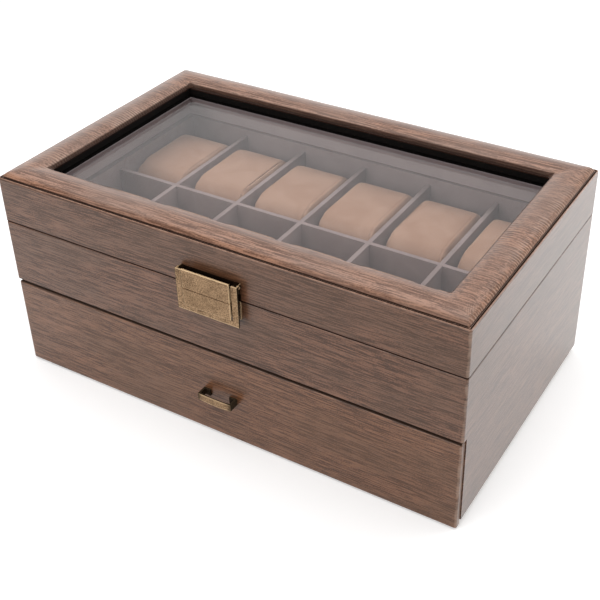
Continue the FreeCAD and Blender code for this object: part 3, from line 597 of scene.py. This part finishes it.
class WATCHBOX_OT_leather(bpy.types.Operator):
    """Wood-grain leather on the case, the lid and the drawer's front"""
    bl_idname = "watchbox.leather"
    bl_label = "Leather walls"

    def execute(self, context):
        c = colours()
        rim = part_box("case_wrap")[1].z
        lid_low, lid_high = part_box("lid_wrap")
        drawer_low, drawer_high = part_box("drawer_front_wrap")
        panel = drawer_high.z + 2.3 * MM

        def case_finish(tree, place, colour):
            colour = corner_wear_and_highlight(tree, place, colour, "case_wrap", c.wear_and_highlight)
            # Painted shade where the panel's leather folds under, and in the seam below the lid.
            inward = inset(tree, place, "case_wrap")
            behind = ramp(tree, inward, 0.15 * MM, 0.5 * MM)
            under = maths(tree, "MULTIPLY", band(tree, place, panel, 0.2 * MM, 0.5 * MM), behind)
            outside = ramp(tree, inward, 0.7 * MM, 1.2 * MM, 1.0, 0.0)
            seam = maths(tree, "MULTIPLY", band(tree, place, rim, 0.2 * MM, 0.6 * MM), outside)
            shade = maths(tree, "MAXIMUM", under, seam)
            return blend(tree, shade, colour, c.crease), shade

        def lid_finish(tree, place, colour):
            colour = corner_wear_and_highlight(tree, place, colour, "lid_wrap", c.wear_and_highlight)
            # Painted highlight: the turned top edge is painted pale towards the right, where the light falls.
            across = add(tree, "ShaderNodeSeparateXYZ", {0: place}).outputs["X"]
            turned = maths(tree, "MULTIPLY", band(tree, place, lid_high.z, 0.1 * MM, 0.5 * MM),
                           ramp(tree, across, -60 * MM, 60 * MM))
            colour = blend(tree, turned, colour, c.edge)
            # Painted shade in the seam above the case and round the window's opening.
            inward = inset(tree, place, "lid_wrap")
            outside = ramp(tree, inward, 0.7 * MM, 1.2 * MM, 1.0, 0.0)
            seam = maths(tree, "MULTIPLY", band(tree, place, lid_low.z, 0.2 * MM, 0.6 * MM), outside)
            window = maths(tree, "MULTIPLY", band(tree, place, lid_high.z, 0.9 * MM, 1.2 * MM),
                           ramp(tree, inward, 12 * MM, 16 * MM))
            shade = maths(tree, "MAXIMUM", window, seam)
            return blend(tree, shade, colour, c.crease), shade

        def drawer_finish(tree, place, colour):
            colour = corner_wear_and_highlight(tree, place, colour, "drawer_front_wrap", c.wear_and_highlight)
            # Painted highlight along the drawer front's top edge, where it catches the light.
            edge = maths(tree, "MULTIPLY", band(tree, place, drawer_high.z, 0.1 * MM, 0.45 * MM), 0.6)
            colour = blend(tree, edge, colour, c.wear_and_highlight)
            # Painted shade on the top face behind the front edge, where the panel above shades the gap; not on the
            # ends.
            axes = add(tree, "ShaderNodeSeparateXYZ", {0: place}).outputs
            behind = ramp(tree, axes["Y"], drawer_low.y + 0.15 * MM, drawer_low.y + 0.5 * MM, 0.0, 0.9)
            top = band(tree, place, drawer_high.z, 0.3 * MM, 1.0 * MM)
            across = maths(tree, "ABSOLUTE", axes["X"])
            between = ramp(tree, across, drawer_high.x - 0.8 * MM, drawer_high.x - 0.3 * MM, 1.0, 0.0)
            shade = maths(tree, "MULTIPLY", behind, maths(tree, "MULTIPLY", top, between))
            return blend(tree, shade, colour, c.crease), shade

        paint(["case_wrap"], wood_leather("Walnut leather", c.walnut_light, c.walnut_dark, c.walnut_grey,
                                          lambda tree, place: walls_vector(tree, place, "case_wrap"),
                                          (0.0, 0.0, 0.0), finish=case_finish))
        paint(["lid_wrap"], wood_leather("Walnut leather of the lid", c.walnut_light, c.walnut_dark,
                                         c.walnut_grey,
                                         lambda tree, place: walls_vector(tree, place, "lid_wrap"),
                                         (0.37, 0.21, 0.0), finish=lid_finish))
        paint(["drawer_front_wrap"], wood_leather("Walnut leather of the drawer", c.drawer_light,
                                                  c.drawer_dark, c.drawer_grey,
                                                  lambda tree, place: walls_vector(
                                                      tree, place, "drawer_front_wrap"),
                                                  (0.71, 0.43, 0.0), finish=drawer_finish))
        return {"FINISHED"}


class WATCHBOX_OT_padded_frame(bpy.types.Operator):
    """The padded leather frame round the window, with its pleats"""
    bl_idname = "watchbox.padded_frame"
    bl_label = "Padded frame"

    def execute(self, context):
        c = colours()
        s = sizes()
        low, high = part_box("top_frame_pad")
        window_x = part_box("glass_pane")[1].x - 5.3 * MM
        run = high.x - window_x
        base = low.z
        crown = high.z - low.z

        def tucked(tree, place, colour):
            """Painted shade: the outer edge goes dark down into its crease and the inner roll is painted dark; the
            pleats get painted highlights on their ridges and painted shade in their grooves.
            """
            inward = inset(tree, place, "top_frame_pad")
            near = ramp(tree, inward, 0.05 * MM, 0.35 * MM, 1.0, 0.0)
            rolled = ramp(tree, inward, run - 2.0 * MM, run - 0.8 * MM, 0.0, 0.85)
            outer = ramp(tree, inward, 0.5 * MM, 5.0 * MM, 0.9, 0.0)
            # The pleats' height, painted as highlight on the ridges and as shade in the grooves.
            pleat = add(tree, "ShaderNodeAttribute", attribute_name="pleat").outputs["Fac"]
            colour = blend(tree, ramp(tree, pleat, 0.0, 0.8, 0.0, 0.45), colour, c.wear_and_highlight)
            colour = blend(tree, ramp(tree, pleat, -0.7, 0.0, 0.85, 0.0), colour, c.pad_dark)
            colour = blend(tree, rolled, colour, c.crease)
            return blend(tree, near, colour, c.crease), maths(tree, "MAXIMUM", outer, rolled)

        leather = wood_leather("Leather of the padded frame", c.pad_light, c.pad_dark, c.pad_grey,
                               lambda tree, place: place, (0.13, 0.57, 0.0), 0.35, 0.9, tucked)

        def profile():
            """A low rolled edge on both sides with the crown of the foam between them."""
            steps = 26
            points = []
            for step in range(steps + 1):
                share = 0.5 - 0.5 * math.cos(math.pi * step / steps)
                roll = min(1.0, min(share, 1 - share) / s.pad_roll)
                edge = math.sqrt(1 - (1 - roll) ** 2)
                rise = (1 - s.pad_crown) * edge + s.pad_crown * 4 * share * (1 - share)
                radius = s.pad_outer_radius + (s.pad_inner_radius - s.pad_outer_radius) * share
                points.append((run * share, radius, base + crown * rise))
            return points

        def build(shape):
            ring_of_loops(shape, low, high, profile(), 110, 600)
            folds = shape.verts.layers.float.new("pleat")
            for vert in shape.verts:
                x, y = vert.co.x, vert.co.y
                side = high.x - abs(x) < min(y - low.y, high.y - y) + run * 0.35
                rise = (vert.co.z - base) / crown
                if rise <= 0.02:
                    continue
                soft = noise.noise(Vector((x * 28, y * 28, 4.0))) * 0.22 * MM
                pleat = 0.0
                if side:
                    inward = high.x - abs(x)
                    outer_share = max(0.0, 1 - inward / (run * s.pleat_reach))
                    inner_share = max(0.0, 1 - (run - inward) / (run * s.pleat_reach))
                    share = max(outer_share, 0.35 * inner_share) if x > 0 else max(inner_share, 0.35 * outer_share)
                    pitch = s.pleat_pitch if x > 0 else s.pleat_pitch
                    phase = y / pitch + 0.9 * noise.noise(Vector((x * 40, y * 120, 1.0)))
                    ridge = 1.9 * abs(math.sin(math.pi * phase)) ** 1.2 - 1
                    uneven = max(0.15, 0.75 + 0.9 * noise.noise(Vector((7.0, y * 90, x * 30))))
                    vert[folds] = share ** 0.8 * ridge * uneven
                    pleat = s.pleat_depth * vert[folds]
                vert.co.z += (soft + pleat) * min(1.0, rise * 1.6)
                vert.co.z = min(vert.co.z, high.z)

        piece = new_piece("padded_frame", build, leather, "lid", ["top_frame_pad"])
        return {"FINISHED"}


class WATCHBOX_OT_edge_bead(bpy.types.Operator):
    """The turned leather edge round the top of the lid, and a dark strip inside it that paints the crease's shadow
    """
    bl_idname = "watchbox.edge_bead"
    bl_label = "Turned edge"

    def execute(self, context):
        c = colours()
        s = sizes()
        low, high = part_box("lid_wrap")
        edge = plain_material("Turned edge", c.edge, linear(120, 84, 64), 420.0, 0.5)
        crease = plain_material("Painted crease shade", c.crease, linear(18, 11, 8), 600.0, 0.8, shine=0.1)
        width = 2 * s.bead_radius
        start = 0.3 * MM

        def bead(shape):
            raised_ring(shape, low, high, start, 1.4 * MM, width, high.z - s.bead_radius,
                        high.z + 0.3 * MM, s.bead_radius * 0.8)

        # A dark strip that paints the shadow in the crease inside the turned edge.
        def strip(shape):
            raised_ring(shape, low, high, start + width, 1.2 * MM, 0.9 * MM, high.z - 0.1 * MM,
                        high.z + 0.05 * MM)

        new_piece("turned_edge", bead, edge, "lid")
        new_piece("crease_shadow_strip", strip, crease, "lid")
        return {"FINISHED"}


class WATCHBOX_OT_lining(bpy.types.Operator):
    """Velvet on the tray, the dividers, the inside of the lid and the drawer"""
    bl_idname = "watchbox.lining"
    bl_label = "Velvet lining"

    def execute(self, context):
        c = colours()
        velvet = pile_material("Grey velvet", c.velvet, c.velvet_tip, 40.0, 0.25, linear(226, 220, 212), 0.05)
        paint(["tray_floor_liner", "tray_left_liner", "tray_right_liner", "tray_front_liner",
               "tray_back_liner", "long_divider", "cross_dividers", "drawer_lining"], velvet)

        def shade_the_lip(tree, place, colour):
            """Painted shade: the pile is painted darker on the lip that stands in from the walls, to match the
            shaded walls.
            """
            return blend(tree, ramp(tree, inset(tree, place, "lid_liner"), 3 * MM, 6 * MM), colour, c.lid_lip_shade)

        # Painted light: the lid's velvet is painted lighter than the tray's, and painted shade darkens it again on
        # the lip.
        paint(["lid_liner"], pile_material("Lid velvet", c.lid_velvet_lightened, c.lid_velvet_tip_lightened, 30.0, 0.1,
                                           linear(230, 220, 218), 0.08, shade_the_lip))
        return {"FINISHED"}


class WATCHBOX_OT_pillows(bpy.types.Operator):
    """Twelve suede pillows, filled until they swell, with a seam at each side"""
    bl_idname = "watchbox.pillows"
    bl_label = "Watch pillows"

    def execute(self, context):
        c = colours()
        suede = pile_material("Tan suede", c.suede, c.suede_rubbed, 45.0, 0.3, linear(236, 214, 196), 0.06)
        names = sorted(name for name in NODES if name.startswith("pillow_"))
        pieces = []
        for number, name in enumerate(names):
            piece = new_piece(name.replace("pillow", "suede_pillow"),
                              lambda shape, node=name: pillow_shape(shape, node), suede, name,
                              [name])
            pieces.append((piece, name, number))
        for piece, name, number in pieces:
            fill_pillow(piece, number)
        for piece, name, number in pieces:
            finish_pillow(piece, name)
        return {"FINISHED"}


def pillow_shape(shape, node):
    """The pillow a little smaller than its node, so that it can swell: a block with round ends."""
    low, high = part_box(node)
    low, high = low + Vector((0.7, 0.9, 0.5)) * MM, high - Vector((0.7, 0.9, 0.9)) * MM
    centre = (low + high) / 2
    bmesh.ops.create_cube(shape, size=1.0)
    size = high - low
    bmesh.ops.scale(shape, verts=shape.verts[:], vec=size)
    ends = [edge for edge in shape.edges
            if abs(edge.verts[0].co.x - edge.verts[1].co.x) > size.x * 0.9]
    bmesh.ops.bevel(shape, geom=ends, affect="EDGES", offset=size.z * 0.47, offset_type="OFFSET",
                    segments=8, profile=0.5, material=-1)
    sides = [edge for edge in shape.edges
             if abs(abs(edge.verts[0].co.x) - size.x / 2) < 1e-6
             and abs(abs(edge.verts[1].co.x) - size.x / 2) < 1e-6]
    bmesh.ops.bevel(shape, geom=sides, affect="EDGES", offset=2.4 * MM, offset_type="OFFSET",
                    segments=3, profile=0.5, material=-1)
    bmesh.ops.translate(shape, verts=shape.verts[:], vec=centre)


def apply_modifiers(piece):
    """Puts what the modifiers make into the piece's own mesh."""
    graph = bpy.context.evaluated_depsgraph_get()
    made = bpy.data.meshes.new_from_object(piece.evaluated_get(graph))
    old = piece.data
    piece.modifiers.clear()
    piece.data = made
    bpy.data.meshes.remove(old)
    for polygon in made.polygons:
        polygon.use_smooth = True


def fill_pillow(piece, number):
    """Blows the cover up against its own cloth, and keeps each point near where it began."""
    scene = bpy.context.scene
    remesh = piece.modifiers.new("Remesh", "REMESH")
    remesh.mode = "VOXEL"
    remesh.voxel_size = 3.2 * MM
    apply_modifiers(piece)
    start = [vert.co.copy() for vert in piece.data.vertices]
    cloth = piece.modifiers.new("Cloth", "CLOTH")
    cloth.settings.quality = 6
    cloth.settings.mass = 0.2
    cloth.settings.tension_stiffness = 18 + 2 * (number % 3)
    cloth.settings.compression_stiffness = 18
    cloth.settings.use_pressure = True
    cloth.settings.uniform_pressure_force = 4.0
    cloth.settings.effector_weights.gravity = 0.0
    cloth.point_cache.frame_start = 1
    cloth.point_cache.frame_end = 20
    for step in range(1, 21):
        scene.frame_set(step)
    apply_modifiers(piece)
    scene.frame_set(1)
    cap = 1.1 * MM
    for vert, before in zip(piece.data.vertices, start):
        moved = vert.co - before
        if moved.length > cap:
            vert.co = before + moved.normalized() * cap


def finish_pillow(piece, node):
    """One subdivision, a seam drawn in along each side and a flat place underneath."""
    s = sizes()
    low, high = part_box(node)
    smooth = piece.modifiers.new("Subdivision", "SUBSURF")
    smooth.levels = 1
    smooth.render_levels = 1
    apply_modifiers(piece)
    shape = bmesh.new()
    shape.from_mesh(piece.data)
    for side in (-1, 1):
        seam = (high.x + low.x) / 2 + side * ((high.x - low.x) / 2 - 3.2 * MM)
        for offset in (-0.7, 0.0, 0.7):
            bmesh.ops.bisect_plane(shape, geom=shape.verts[:] + shape.edges[:] + shape.faces[:],
                                   dist=1e-6, plane_co=(seam + offset * MM, 0, 0), plane_no=(1, 0, 0))
        shape.normal_update()
        for vert in shape.verts:
            if abs(vert.co.x - seam) < 0.05 * MM:
                vert.co -= vert.normal * s.seam_depth
    for vert in shape.verts:
        vert.co.x = min(max(vert.co.x, low.x), high.x)
        vert.co.y = min(max(vert.co.y, low.y), high.y)
        vert.co.z = min(max(vert.co.z, low.z), high.z)
    shape.to_mesh(piece.data)
    shape.free()


class WATCHBOX_OT_window(bpy.types.Operator):
    """The glass pane and the black strip over its edge"""
    bl_idname = "watchbox.window"
    bl_label = "Window"

    def execute(self, context):
        material, tree, shader, output, place = new_material("Window glass")
        smear = speckle(tree, place, 22.0, 4.0, 0.6)
        set_inputs(tree, shader, {
            "Base Color": (0.96, 0.95, 0.94, 1.0), "Transmission Weight": 1.0, "IOR": 1.36,
            "Specular Tint": (1.0, 0.94, 0.97, 1.0),
            "Roughness": ramp(tree, smear, 0.4, 0.8, 0.0, 0.02)})
        rays = tree.nodes.new("ShaderNodeLightPath").outputs
        clear = tree.nodes.new("ShaderNodeBsdfTransparent")
        clear.inputs["Color"].default_value = (0.96, 0.95, 0.94, 1.0)
        passing = maths(tree, "MAXIMUM", rays["Is Shadow Ray"], rays["Is Diffuse Ray"])
        mixed = add(tree, "ShaderNodeMixShader", {0: passing, 1: shader.outputs[0], 2: clear.outputs[0]})
        tree.links.new(mixed.outputs[0], output.inputs["Surface"])
        paint(["glass_pane"], material)
        paint(["glass_seal", "glass_retainer"], plain_material("Black strip", linear(15, 12, 11), linear(8, 7, 6), 300.0, 0.85, shine=0.08))
        return {"FINISHED"}


class WATCHBOX_OT_latch(bpy.types.Operator):
    """Antique brass on the latch and the pull"""
    bl_idname = "watchbox.latch"
    bl_label = "Latch and pull"

    def execute(self, context):
        c = colours()
        brass = metal_material("Antique brass", c.brass, c.brass_dark, 0.8, 0.35, None, "latch_cover")
        cover_low, cover_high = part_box("latch_cover")
        plate_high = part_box("latch_lid_plate")[1]
        bail_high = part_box("latch_bail")[1]

        def shade_round_the_cover(tree, place):
            """Painted shade on the bail's outer sides, and along the sides and the foot of the cover."""
            axes = add(tree, "ShaderNodeSeparateXYZ", {0: place}).outputs
            across = maths(tree, "ABSOLUTE", axes["X"])
            beside = ramp(tree, across, cover_high.x + 0.1 * MM, cover_high.x + 1.1 * MM, 1.0, 0.0)
            above = ramp(tree, axes["Z"], cover_low.z - 0.9 * MM, cover_low.z - 0.2 * MM)
            outer = ramp(tree, across, bail_high.x - 0.35 * MM, bail_high.x - 0.1 * MM, 0.0, 0.95)
            return maths(tree, "MAXIMUM", maths(tree, "MULTIPLY", beside, above), outer)

        def shade_behind_the_bail(tree, place):
            """Painted shade: the lid's plate is painted dark where the bail and the cover shade it, leaving its
            side edge bright.
            """
            across = maths(tree, "ABSOLUTE", add(tree, "ShaderNodeSeparateXYZ", {0: place}).outputs["X"])
            return ramp(tree, across, plate_high.x - 0.35 * MM, plate_high.x - 0.15 * MM, 1.0, 0.0)

        pull_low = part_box("drawer_pull")[0]

        def shade_behind_the_grip(tree, place):
            """Painted shade: the pull is painted dark behind its front face."""
            depth = add(tree, "ShaderNodeSeparateXYZ", {0: place}).outputs["Y"]
            return ramp(tree, depth, pull_low.y + 0.35 * MM, pull_low.y + 0.9 * MM, 0.0, 0.92)

        paint(["latch_cover", "latch_pins", "latch_case_nails"], brass)
        paint(["drawer_pull", "pull_screws"], metal_material(
            "Antique brass of the pull", c.brass, c.brass_dark, 0.8, 0.35, shade_behind_the_grip, "drawer_pull"))
        paint(["latch_bail"], metal_material("Antique brass of the bail", c.brass, c.brass_dark, 0.8, 0.35,
                                             shade_round_the_cover, "latch_bail"))
        paint(["latch_case_plate"], metal_material("Antique brass of the keeper", c.brass, c.brass_dark, 1.2, 0.35,
                                                   None, "latch_case_plate"))
        paint(["latch_lid_plate"],
              metal_material("Antique brass of the lid's plate", c.brass, c.brass_dark, 0.8, 0.35, shade_behind_the_bail,
                             "latch_lid_plate"))
        return {"FINISHED"}


class WATCHBOX_OT_hinges(bpy.types.Operator):
    """Satin brass hinges and steel screws"""
    bl_idname = "watchbox.hinges"
    bl_label = "Hinges and screws"

    def execute(self, context):
        c = colours()
        satin = metal_material("Hinge brass", linear(200, 174, 130), c.brass_dark, 0.4, 0.25)
        steel = metal_material("Screw steel", linear(196, 194, 190), linear(96, 92, 88), 0.35, 0.3)
        paint(["left_hinge_case_leaf", "left_hinge_lid_leaf", "right_hinge_case_leaf",
               "right_hinge_lid_leaf", "hinge_pins"], satin)
        paint(["hinge_case_screws", "hinge_lid_screws"], steel)
        return {"FINISHED"}


class WATCHBOX_OT_boards(bpy.types.Operator):
    """Fibreboard carcass, lid boards and drawer box, and the rubber feet"""
    bl_idname = "watchbox.boards"
    bl_label = "Boards and feet"

    def execute(self, context):
        board = plain_material("Fibreboard", linear(174, 146, 116), linear(146, 118, 92), 700.0, 0.8)
        black = plain_material("Foot rubber", linear(40, 38, 37), linear(24, 23, 22), 500.0, 0.75)
        paint(["case_left_side", "case_right_side", "case_back", "case_front_panel", "case_shelf",
               "case_bottom", "lid_left_side", "lid_right_side", "lid_front_rail", "lid_back_rail",
               "lid_top_board", "drawer_front", "drawer_left_side",
               "drawer_right_side", "drawer_back", "drawer_bottom"], board)
        paint(["feet"], black)
        return {"FINISHED"}


# Stage


def area_lamp(name, place, target, width, height, power, colour=(1.0, 1.0, 1.0)):
    lamp = bpy.data.lights.new(name, "AREA")
    lamp.shape = "RECTANGLE"
    lamp.size = width
    lamp.size_y = height
    lamp.energy = power
    lamp.color = colour
    holder = bpy.data.objects.new(name, lamp)
    holder.location = place
    holder.rotation_euler = (Vector(place) - Vector(target)).to_track_quat("Z", "Y").to_euler()
    bpy.context.scene.collection.objects.link(holder)


def seen_rays(tree):
    """1 for rays that show the background: to the camera, in a reflection or through glass."""
    rays = tree.nodes.new("ShaderNodeLightPath").outputs
    mirrored = maths(tree, "MAXIMUM", rays["Is Glossy Ray"], rays["Is Transmission Ray"])
    return maths(tree, "MAXIMUM", rays["Is Camera Ray"], mirrored)


class WATCHBOX_OT_stage(bpy.types.Operator):
    """White floor and surroundings, soft lamps and the camera"""
    bl_idname = "watchbox.stage"
    bl_label = "Stage"

    def execute(self, context):
        settings = stage_settings()
        scene = context.scene
        scene.view_settings.view_transform = "Standard"

        shape = bmesh.new()
        bmesh.ops.create_grid(shape, x_segments=1, y_segments=1, size=4.0)
        bmesh.ops.translate(shape, verts=shape.verts, vec=(0.0, 0.0, -0.1 * MM))
        mesh = bpy.data.meshes.new("floor")
        shape.to_mesh(mesh)
        shape.free()
        floor = bpy.data.objects.new("floor", mesh)
        scene.collection.objects.link(floor)
        material, tree, shader, output, place = new_material("White floor")
        seen = seen_rays(tree)
        away = add(tree, "ShaderNodeVectorMath", {0: place}, operation="LENGTH").outputs["Value"]
        far = maths(tree, "MULTIPLY", ramp(tree, away, 0.5, 1.2), seen)
        glow = maths(tree, "ADD", maths(tree, "MULTIPLY", seen, 0.30), maths(tree, "MULTIPLY", far, 0.70))
        set_inputs(tree, shader, {
            "Base Color": blend(tree, far, (0.85, 0.85, 0.85), (0.0, 0.0, 0.0)),
            "Roughness": 0.9, "Specular IOR Level": 0.0,
            "Emission Color": (1.0, 1.0, 1.0, 1.0), "Emission Strength": glow})
        floor.data.materials.append(material)

        world = bpy.data.worlds.new("Surroundings")
        world.use_nodes = True
        scene.world = world
        tree = world.node_tree
        tree.nodes.clear()
        strength = add(tree, "ShaderNodeMapRange", {
            "Value": seen_rays(tree), "To Min": settings.sky, "To Max": 1.0}).outputs[0]
        background = add(tree, "ShaderNodeBackground", {"Color": (1.0, 1.0, 1.0, 1.0), "Strength": strength})
        tree.links.new(background.outputs[0], tree.nodes.new("ShaderNodeOutputWorld").inputs["Surface"])

        middle = (0.0, 0.0, 0.09)
        area_lamp("Softbox right", (0.75, 0.75, 0.28), middle, 0.8, 0.6, settings.key_power)
        area_lamp("Softbox overhead", (-0.1, 0.15, 1.6), middle, 2.4, 1.8, settings.top_power)
        area_lamp("Softbox front", (-0.3, -1.2, 0.6), middle, 1.0, 0.8, settings.front_power)

        camera = bpy.data.cameras.new("Camera")
        camera.sensor_fit = "HORIZONTAL"
        camera.sensor_width = 36.0
        camera.lens = settings.camera_lens
        camera.shift_x, camera.shift_y = settings.camera_shift
        holder = bpy.data.objects.new("Camera", camera)
        turn = Matrix.Rotation(settings.camera_azimuth, 4, "Z")
        tilt = Matrix.Rotation(math.pi / 2 - settings.camera_elevation, 4, "X")
        roll = Matrix.Rotation(settings.camera_roll, 4, "Z")
        holder.matrix_world = Matrix.Translation(settings.camera_place) @ turn @ tilt @ roll
        scene.collection.objects.link(holder)
        scene.camera = holder
        return {"FINISHED"}


class WATCHBOX_PT_panel(bpy.types.Panel):
    """Lists the pieces in the order in which they are made"""
    bl_label = "Watch Box"
    bl_idname = "WATCHBOX_PT_panel"
    bl_space_type = "VIEW_3D"
    bl_region_type = "UI"
    bl_category = "Watch Box"

    def draw(self, context):
        column = self.layout.column()
        for operator in OPERATORS:
            column.operator(operator.bl_idname)
        for group in (context.scene.watch_box_colours, context.scene.watch_box_sizes,
                      context.scene.watch_box_stage):
            for name in group.__annotations__:
                column.prop(group, name)


OPERATORS = (
    WATCHBOX_OT_leather,
    WATCHBOX_OT_padded_frame,
    WATCHBOX_OT_edge_bead,
    WATCHBOX_OT_lining,
    WATCHBOX_OT_pillows,
    WATCHBOX_OT_window,
    WATCHBOX_OT_latch,
    WATCHBOX_OT_hinges,
    WATCHBOX_OT_boards,
    WATCHBOX_OT_stage,
)
GROUPS = (WatchBoxColours, WatchBoxSizes, WatchBoxStage)


def register():
    for cls in (*GROUPS, *OPERATORS, WATCHBOX_PT_panel):
        bpy.utils.register_class(cls)
    bpy.types.Scene.watch_box_colours = PointerProperty(type=WatchBoxColours)
    bpy.types.Scene.watch_box_sizes = PointerProperty(type=WatchBoxSizes)
    bpy.types.Scene.watch_box_stage = PointerProperty(type=WatchBoxStage)


def unregister():
    del bpy.types.Scene.watch_box_stage
    del bpy.types.Scene.watch_box_sizes
    del bpy.types.Scene.watch_box_colours
    for cls in (WATCHBOX_PT_panel, *reversed(OPERATORS), *reversed(GROUPS)):
        bpy.utils.unregister_class(cls)


def main():
    register()
    make_wood_print_group()
    make_band_group()
    make_inset_group()
    make_corner_group()
    make_pile_group()
    make_patina_group()
    make_edge_rub_and_highlight_group()
    for operator in OPERATORS:
        category, name = operator.bl_idname.split(".")
        getattr(getattr(bpy.ops, category), name)()


if __name__ == "__main__":
    main()
